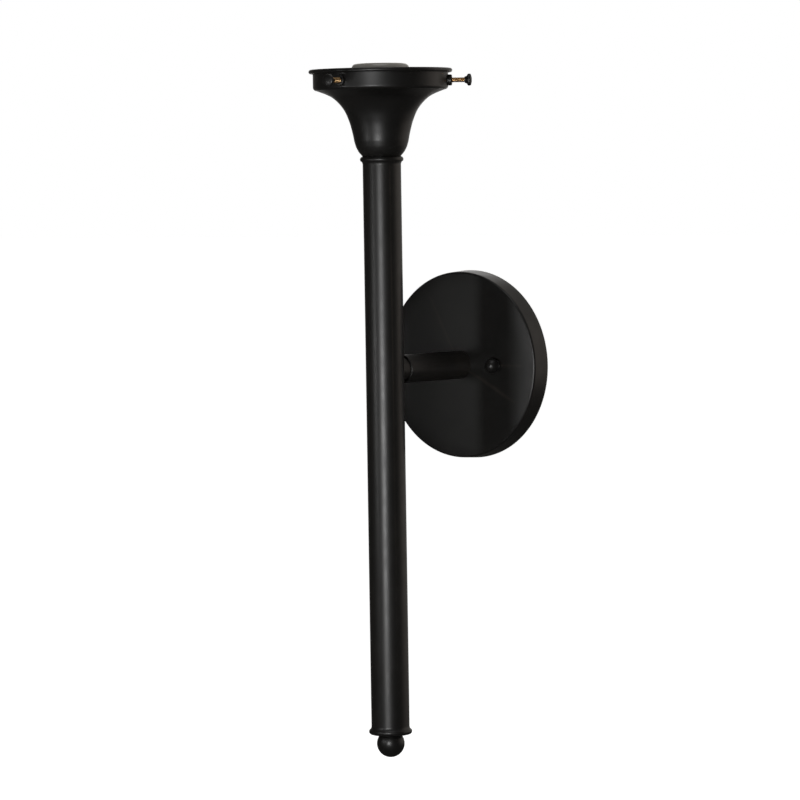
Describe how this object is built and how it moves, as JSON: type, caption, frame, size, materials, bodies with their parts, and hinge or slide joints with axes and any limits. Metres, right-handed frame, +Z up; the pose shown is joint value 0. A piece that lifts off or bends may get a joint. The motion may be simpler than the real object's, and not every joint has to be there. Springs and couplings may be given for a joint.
{
  "type": "torch wall sconce",
  "caption": "Wall torch light: round canopy, short arm, long tubular stem with ball finial, and a bell shade holder with thumbscrews round a porcelain lampholder.",
  "frame": {"origin": "centre of the canopy's back in the wall plane, on the arm's axis, midway between the crossbar's screw slots", "axes": "+Z up along the stem, +Y into the wall, +X to the right seen from the room"},
  "size_m": [0.1278, 0.1556, 0.4618],
  "materials": {
    "satin_black": "satin black paint on spun and turned metal",
    "zinc_steel": "bright zinc plate",
    "bare_brass": "bare turned brass",
    "white_porcelain": "white glaze",
    "copper_wire": "bare copper",
    "green_steel": "green ground screw",
    "black_insulation": "black wire insulation",
    "white_insulation": "white wire insulation",
    "connector_plastic": "orange moulded wire connector"
  },
  "bodies": {
    "root": {"canopy": "satin_black", "crossbar": "zinc_steel", "canopy_studs": "zinc_steel", "stud_locknuts": "zinc_steel", "ball_cap_nuts": "satin_black", "ground_screw": "green_steel", "arm_tube": "satin_black", "arm_centring_ring": "zinc_steel", "arm_neck_bush": "satin_black", "arm_pipe": "zinc_steel", "arm_lock_washer": "zinc_steel", "arm_hex_nut": "zinc_steel", "stem_tube": "satin_black", "stem_top_collar": "satin_black", "stem_bottom_collar": "satin_black", "ball_finial": "satin_black", "finial_pipe": "zinc_steel", "finial_locknut": "zinc_steel", "shade_holder": "satin_black", "screw_bosses": "satin_black", "holder_lock_washer": "zinc_steel", "holder_hex_nut": "zinc_steel", "holder_pipe": "zinc_steel", "stem_top_locknut": "zinc_steel", "lampholder_body": "white_porcelain", "terminal_screws": "bare_brass", "lampholder_cap_screws": "zinc_steel", "screw_shell": "bare_brass", "centre_contact": "bare_brass", "lampholder_cap": "zinc_steel", "cap_set_screw": "zinc_steel", "line_lead": "black_insulation", "neutral_lead": "white_insulation", "ground_lead": "copper_wire", "wire_connectors": "connector_plastic"},
    "front_screw_thread": {"front_screw_thread": "bare_brass"},
    "front_screw_head": {"front_screw_head": "satin_black"},
    "right_screw_thread": {"right_screw_thread": "bare_brass"},
    "right_screw_head": {"right_screw_head": "satin_black"},
    "left_screw_thread": {"left_screw_thread": "bare_brass"},
    "left_screw_head": {"left_screw_head": "satin_black"}
  },
  "joints": [
    {"name": "front_screw_travel", "type": "slide", "parent": "root", "child": "front_screw_thread", "axis": [-0.061, 0.9981, 0], "range_m": [-0.0024, 0.008]},
    {"name": "front_screw_turn", "type": "hinge", "parent": "front_screw_thread", "child": "front_screw_head", "pos_m": [0.0034, -0.1509, 0.1912], "axis": [-0.061, 0.9981, 0], "range_deg": [-1090, 3630]},
    {"name": "right_screw_travel", "type": "slide", "parent": "root", "child": "right_screw_thread", "axis": [-0.8339, -0.5519, 0], "range_m": [-0.0024, 0.008]},
    {"name": "right_screw_turn", "type": "hinge", "parent": "right_screw_thread", "child": "right_screw_head", "pos_m": [0.04649, -0.06448, 0.1912], "axis": [-0.8339, -0.5519, 0], "range_deg": [-1090, 3630]},
    {"name": "left_screw_travel", "type": "slide", "parent": "root", "child": "left_screw_thread", "axis": [0.8949, -0.4462, 0], "range_m": [-0.0024, 0.008]},
    {"name": "left_screw_turn", "type": "hinge", "parent": "left_screw_thread", "child": "left_screw_head", "pos_m": [-0.04989, -0.07037, 0.1912], "axis": [0.8949, -0.4462, 0], "range_deg": [-1090, 3630]}
  ],
  "couplings": [
    {"joint": "front_screw_turn", "follows": "front_screw_travel", "rad_per_m": 7915.8},
    {"joint": "right_screw_turn", "follows": "right_screw_travel", "rad_per_m": 7915.8},
    {"joint": "left_screw_turn", "follows": "left_screw_travel", "rad_per_m": 7915.8}
  ]
}
